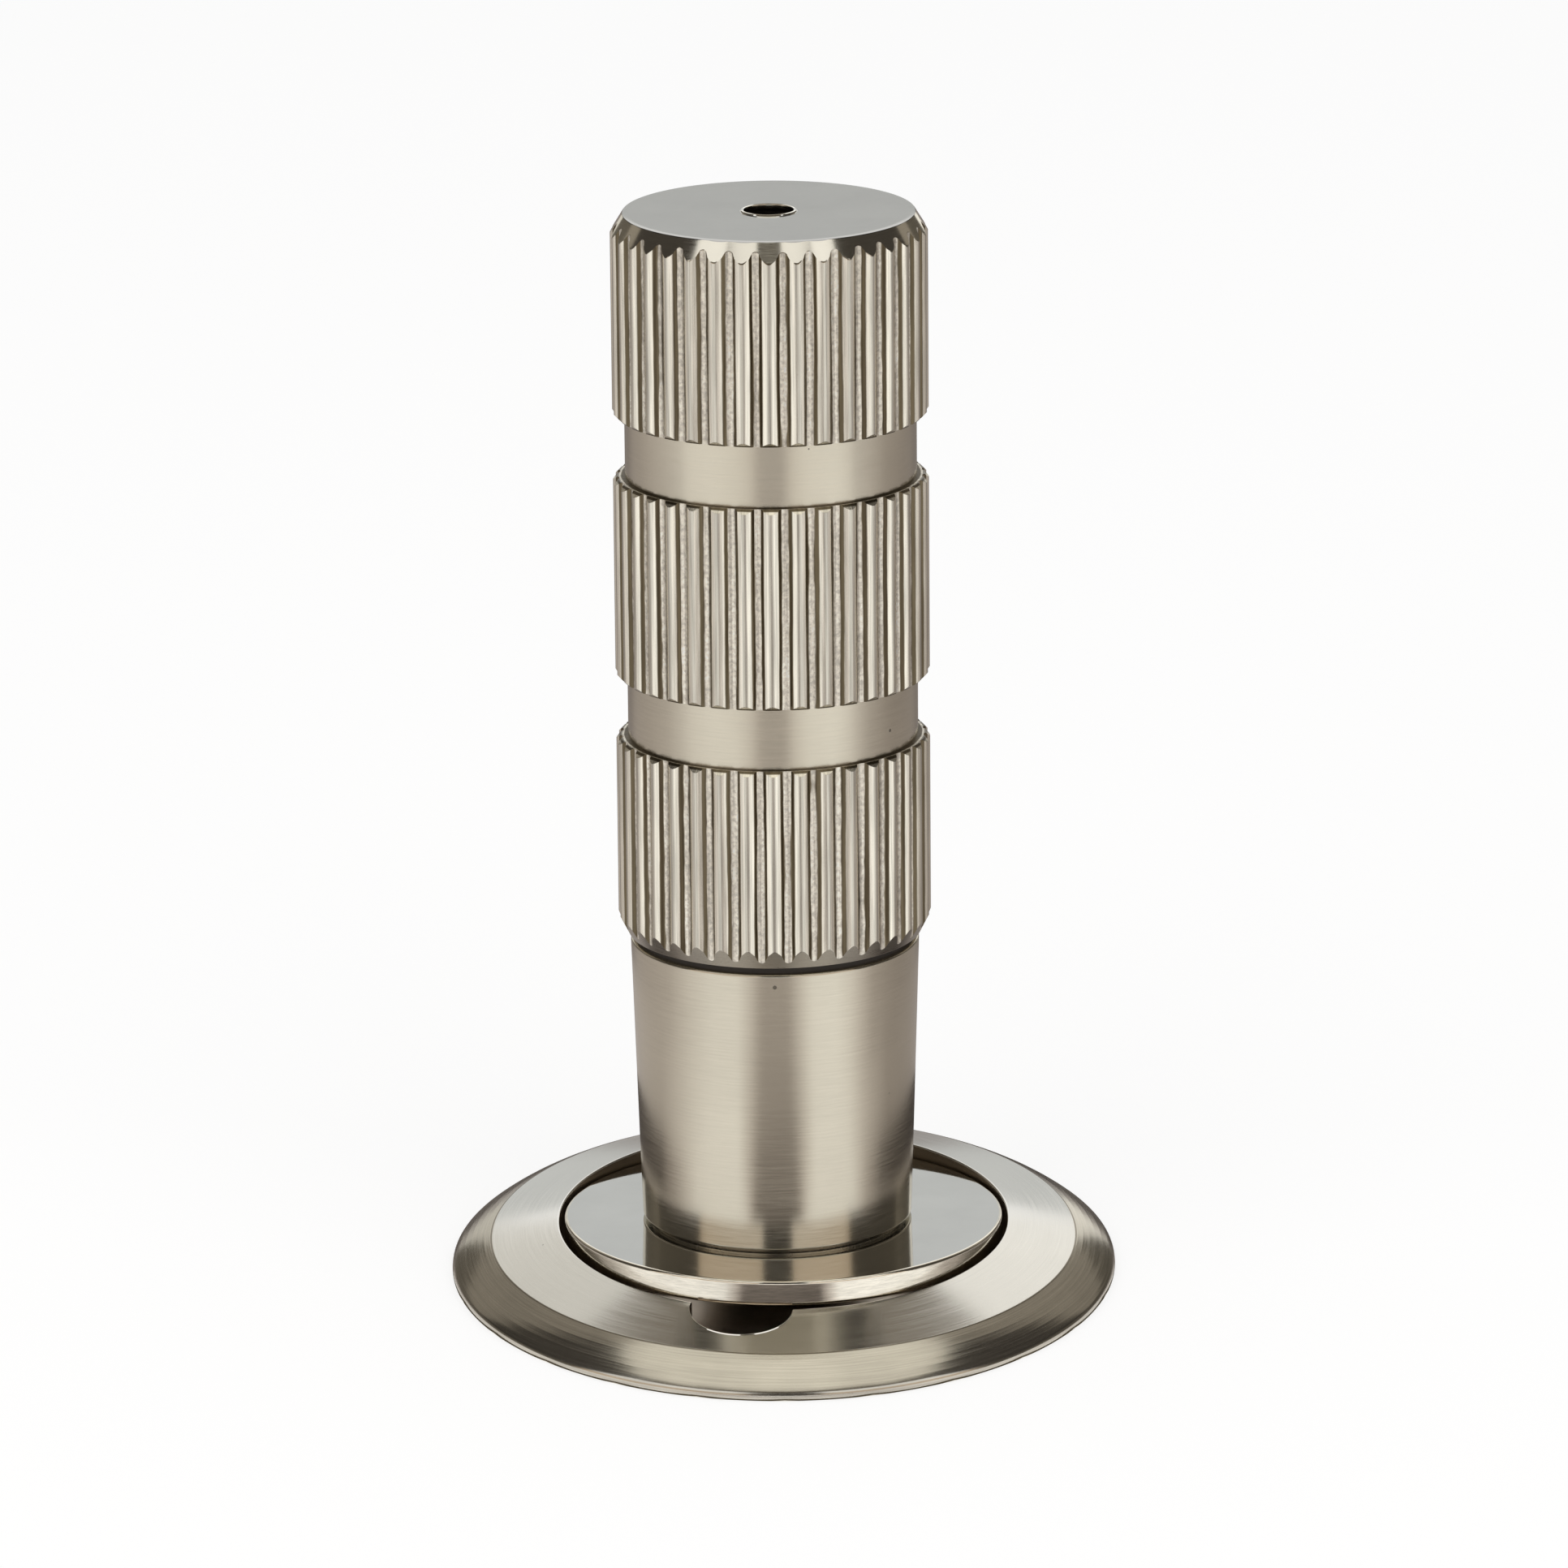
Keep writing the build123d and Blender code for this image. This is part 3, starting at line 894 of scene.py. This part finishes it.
# Flags: azimuths, then radii and levels of the two long edges, then colour. Two equal radii make a curved
# screen, two equal levels a sector.
FLAGS = {
    # a dark strip round the ring's foot, seen only in reflections: the floor's contact shadow, painted
    "flag_painted_contact_shadow": ((-180, 180), (0.02255, 0.0229), (0.00002, 0.00002), (0.10, 0.085, 0.06)),
    "flag_front": ((-13, 13), (0.6, 0.6), (0.09, 1.9), (0.05, 0.045, 0.04)),
    "flag_warm_left": ((-75, -13), (0.6, 0.6), (0.05, 0.33), (0.64, 0.54, 0.44)),
    "flag_warm_right": ((13, 75), (0.6, 0.6), (0.05, 0.33), (0.64, 0.54, 0.44)),
    "flag_near": ((-62, 62), (0.1, 0.1), (0.104, 0.166), (0.085, 0.070, 0.052)),
    "flag_near_high": ((-44, 44), (0.1, 0.1), (0.166, 0.196), (0.085, 0.070, 0.052)),
    "flag_gap_left": ((-165, -156), (0.5, 0.5), (0.0, 0.9), (0.70, 0.68, 0.63)),
    "flag_gap_right": ((156, 165), (0.5, 0.5), (0.0, 0.9), (0.95, 0.93, 0.88)),
    "flag_left": ((-125, -72), (0.5, 0.5), (0.15, 0.9), (0.05, 0.045, 0.04)),
    "flag_right": ((66, 125), (0.5, 0.5), (0.15, 0.9), (0.05, 0.045, 0.04)),
    "flag_left_back": ((-156, -125), (0.5, 0.5), (0.15, 0.9), (0.27, 0.245, 0.21)),
    "flag_right_back": ((125, 156), (0.5, 0.5), (0.15, 0.9), (0.27, 0.245, 0.21)),
    "flag_left_low": ((-156, -72), (0.5, 0.5), (0.0, 0.15), (0.12, 0.108, 0.09)),
    "flag_right_low": ((66, 156), (0.5, 0.5), (0.0, 0.15), (0.10, 0.09, 0.075)),
    "flag_back": ((165, 195), (0.5, 0.5), (0.0, 0.15), (0.60, 0.61, 0.60)),
    "flag_back_high": ((160, 199), (0.5, 0.5), (0.48, 0.80), (0.18, 0.155, 0.12)),
    "flag_top": ((-180, 180), (0.002, 0.52), (0.9, 0.9), (0.88, 0.85, 0.77)),
    "flag_patch": ((173, 188), (0.28, 0.50), (0.86, 0.86), (0.26, 0.22, 0.16)),
}
FLAG_STEPS = 24


def glow(name, colour):
    """A material that only gives off light, and the input of its colour."""
    material = bpy.data.materials.new(name)
    material.use_nodes = True
    tree = material.node_tree
    tree.nodes.clear()
    add = node_adder(tree)
    light = add("Emission", Color=(*colour, 1), Strength=1.0)
    add("OutputMaterial", Surface=light.outputs[0])
    return material, light.inputs["Color"]


def reflector(name, azimuths, radii, levels, material):
    """A stage strip round the object that only mirror-like surfaces see. Returns its mesh."""
    vertices = []
    for azimuth in azimuths:
        turn = radians(azimuth)
        for radius, level in zip(radii, levels):
            vertices.append((radius * sin(turn), -radius * cos(turn), level))
    faces = [(2 * s, 2 * s + 1, 2 * s + 3, 2 * s + 2) for s in range(len(azimuths) - 1)]
    mesh = bpy.data.meshes.new(name)
    mesh.from_pydata(vertices, [], faces)
    mesh.materials.append(material)
    made = bpy.data.objects.new(name, mesh)
    bpy.context.scene.collection.objects.link(made)
    made.visible_camera = False
    made.visible_diffuse = False
    made.visible_shadow = False
    made.visible_transmission = False
    return mesh


def flag(name, azimuths, radii, levels, colour):
    """A plain strip: a sector on the floor or above, or a curved screen standing round the object."""
    low, high = azimuths
    turns = [low + (high - low) * step / FLAG_STEPS for step in range(FLAG_STEPS + 1)]
    reflector(name, turns, radii, levels, glow(name, colour)[0])


def card_tone(azimuth, stops):
    """Brightness between (azimuth, brightness) stops."""
    for (low, start), (high, end) in zip(stops, stops[1:]):
        if low <= azimuth <= high:
            return start + (end - start) * (azimuth - low) / (high - low)
    return stops[-1][1]


def floor_card(name, inner, outer, stops):
    """A graded ring on the floor, darker and warmer in some sectors."""
    turns = range(-180, 181, CARD_STEP)
    tones = []
    for azimuth in turns:
        tone = card_tone(azimuth, stops)
        green = tone * (1 - GREEN_FALL + GREEN_FALL * tone)
        blue = tone * (1 - BLUE_FALL + BLUE_FALL * tone)
        tones += [tone, green, blue, 1.0] * 2
    material, light_colour = glow(name, (1, 1, 1))
    graded = node_adder(material.node_tree)("Attribute", {"attribute_name": "tone"})
    feed(light_colour, graded.outputs["Color"])
    mesh = reflector(name, turns, (inner, outer), (0.0, 0.0), material)
    mesh.color_attributes.new("tone", "FLOAT_COLOR", "POINT").data.foreach_set("color", tones)


def soft_lamp(name, azimuth):
    """A square soft lamp aimed at the middle of the object."""
    turn, rise = radians(azimuth), radians(LAMP_ELEVATION)
    away = Vector((sin(turn) * cos(rise), -cos(turn) * cos(rise), sin(rise)))
    data = bpy.data.lights.new(name, "AREA")
    data.shape = "SQUARE"
    data.size = LAMP_SIZE
    data.energy = LAMP_WATTS
    data.color = LAMP_COLOUR
    lamp = bpy.data.objects.new(name, data)
    bpy.context.scene.collection.objects.link(lamp)
    lamp.location = Vector(LAMP_AIM) + away * LAMP_DISTANCE
    lamp.rotation_mode = "QUATERNION"
    lamp.rotation_quaternion = away.to_track_quat("Z", "Y")
    lamp.visible_glossy = False


def backdrop_light(tree, white, plain):
    """White for the camera, reflections and glass; a plain level for the rest."""
    add = node_adder(tree)
    path = add("LightPath").outputs
    seen = maths(add, "ADD", path["Is Camera Ray"], path["Is Glossy Ray"])
    return remap(add, maths(add, "ADD", seen, path["Is Transmission Ray"]), 0.0, 1.0, plain, white)


def make_world():
    world = bpy.data.worlds.new("studio")
    bpy.context.scene.world = world
    world.use_nodes = True
    tree = world.node_tree
    background = tree.nodes["Background"].inputs
    background["Color"].default_value = (1, 1, 1, 1)
    feed(background["Strength"], backdrop_light(tree, 1.0, WORLD_LEVEL))


def make_floor():
    """Pale floor that stays white round the object and keeps its shadow."""
    mesh = bpy.data.meshes.new("floor")
    corners = [(-1, -1), (1, -1), (1, 1), (-1, 1)]
    mesh.from_pydata([(x * FLOOR_HALF, y * FLOOR_HALF, 0) for x, y in corners], [], [(0, 1, 2, 3)])
    floor = bpy.data.objects.new("floor", mesh)
    bpy.context.scene.collection.objects.link(floor)
    floor.location.z = -FLOOR_DROP
    material, shader, _ = new_material("floor", 0.0)
    shader["Base Color"].default_value = (*FLOOR_GREY, 1)
    shader["Roughness"].default_value = 0.9
    shader["Specular IOR Level"].default_value = 0.0
    shader["Emission Color"].default_value = (1, 1, 1, 1)
    feed(shader["Emission Strength"], backdrop_light(material.node_tree, FLOOR_WHITE, 0.0))
    mesh.materials.append(material)


def make_camera():
    data = bpy.data.cameras.new("camera")
    data.sensor_width = CAMERA_SENSOR
    data.lens = CAMERA_LENS
    data.clip_start, data.clip_end = CAMERA_CLIP
    camera = bpy.data.objects.new("camera", data)
    bpy.context.scene.collection.objects.link(camera)
    rise = radians(CAMERA_ELEVATION)
    ahead = Vector((0, cos(rise), -sin(rise)))
    right = ahead.cross(Vector((0, 0, 1))).normalized()
    up = right.cross(ahead)
    tilt = radians(CAMERA_ROLL)
    right, up = right * cos(tilt) + up * sin(tilt), up * cos(tilt) - right * sin(tilt)
    turned = Matrix((right, up, -ahead)).transposed().to_4x4()
    spot = (Vector(CAMERA_AIM) - ahead * CAMERA_DISTANCE) * MM
    camera.matrix_world = Matrix.Translation(spot) @ turned
    bpy.context.scene.camera = camera


bpy.context.scene.view_settings.view_transform = "Standard"
make_camera()
make_world()
make_floor()
for lamp_name, lamp_azimuth in LAMP_AZIMUTHS.items():
    soft_lamp(lamp_name, lamp_azimuth)
for card_name, card in CARDS.items():
    floor_card(card_name, *card)
for flag_name, setting in FLAGS.items():
    flag(flag_name, *setting)

# The dressed pieces

WARM = (0.66, 0.61, 0.50)
GREY = (0.81, 0.795, 0.75)
ZINC = (0.62, 0.62, 0.61)
BRASS = (0.78, 0.62, 0.33)
# the flutes' wall colour is painted shade; the ridge colour is lightened at the shoulders as painted
# highlights
RIDGE, FLUTE_WALL_SHADE, FLUTE_FLOOR = (0.92, 0.87, 0.75), (0.15, 0.12, 0.075), (0.96, 0.91, 0.80)

sleeve_piece([
    fluted_metal("flute_plated", RIDGE, FLUTE_WALL_SHADE, FLUTE_FLOOR, 0.24),
    brushed("neck_brushed", WARM, 0.22, 0.6, turns=3.0, grain=0.0014, streak=0.08),
    polished("cap_smooth", (0.495, 0.485, 0.455), 0.10),
    # the thread inside the tapped hole is painted near black as shade
    polished("thread_painted_shade", (0.04, 0.035, 0.03), 0.5),
    brushed("cone_turned", (0.86, 0.81, 0.69), 0.12, 0.3, grain=0.001),
    # the lower end cone is a darker copy of the top cone's turned metal: painted shade on its downward face
    brushed("end_cone_painted_shade", (0.40, 0.365, 0.31), 0.3, 0.4, grain=0.002),
    # the bead round the hole's mouth is given a lighter colour as a painted highlight
    polished("hole_bead_painted_highlight", (0.93, 0.91, 0.84), 0.12),
])
catch_piece([
    brushed("ring_brushed", GREY, 0.15, 0.3, turns=2.5, grain=0.0012, streak=0.06),
    # the bore wall is a darker copy of the ring's metal: painted shade inside the recess
    brushed("ring_inside_painted_shade", (0.32, 0.26, 0.20), 0.4, 0.3),
    brushed("ring_dish", (0.80, 0.70, 0.60), 0.35, 0.3),
    brushed("bevel_turned", (0.64, 0.605, 0.525), 0.18, 0.3, turns=3.0, grain=0.0015, streak=0.22),
    # the line between bevel and face is painted dark as shade
    brushed("crease_painted_shade", (0.30, 0.27, 0.22), 0.2, 0.3, turns=3.0, grain=0.001),
    # the notch's lip: polished, low-roughness metal, with a lighter colour painted on as a highlight along
    # its edge
    polished("lip_polished_painted_highlight", (0.93, 0.90, 0.82), 0.06),
])
disc_piece(
    polished("disc_polished", (0.76, 0.755, 0.73), 0.05),
    brushed("disc_edge_turned", (0.84, 0.79, 0.68), 0.09, 0.0, turns=14.0, grain=0.003, streak=0.26),
)
nose_piece(brushed("nose_brushed", WARM, 0.2, 0.6, turns=3.0, grain=0.0014, streak=0.08))

carried_over = {
    "pole_cup": polished("cup_plated", (0.66, 0.63, 0.57), 0.22),
    "magnet": polished("magnet_plated", (0.66, 0.66, 0.65), 0.3),
    "magnet_spacer": polished("spacer_brass", BRASS, 0.3),
    "magnet_screw": polished("screw_zinc", ZINC, 0.35),
    "socket_ring": polished("socket_brass", BRASS, 0.3),
    "socket_liner": moulded("liner_nylon", (0.86, 0.85, 0.80), 0.5),
    "ball_stud": polished("ball_steel", (0.7, 0.7, 0.69), 0.15),
    "joint_washer": moulded("washer_fibre", (0.05, 0.042, 0.036), 0.7),
    "joining_stud": polished("stud_zinc", ZINC, 0.35),
}
for node, material in carried_over.items():
    mesh = frame["nodes"][node].data
    mesh.materials.clear()
    mesh.materials.append(material)
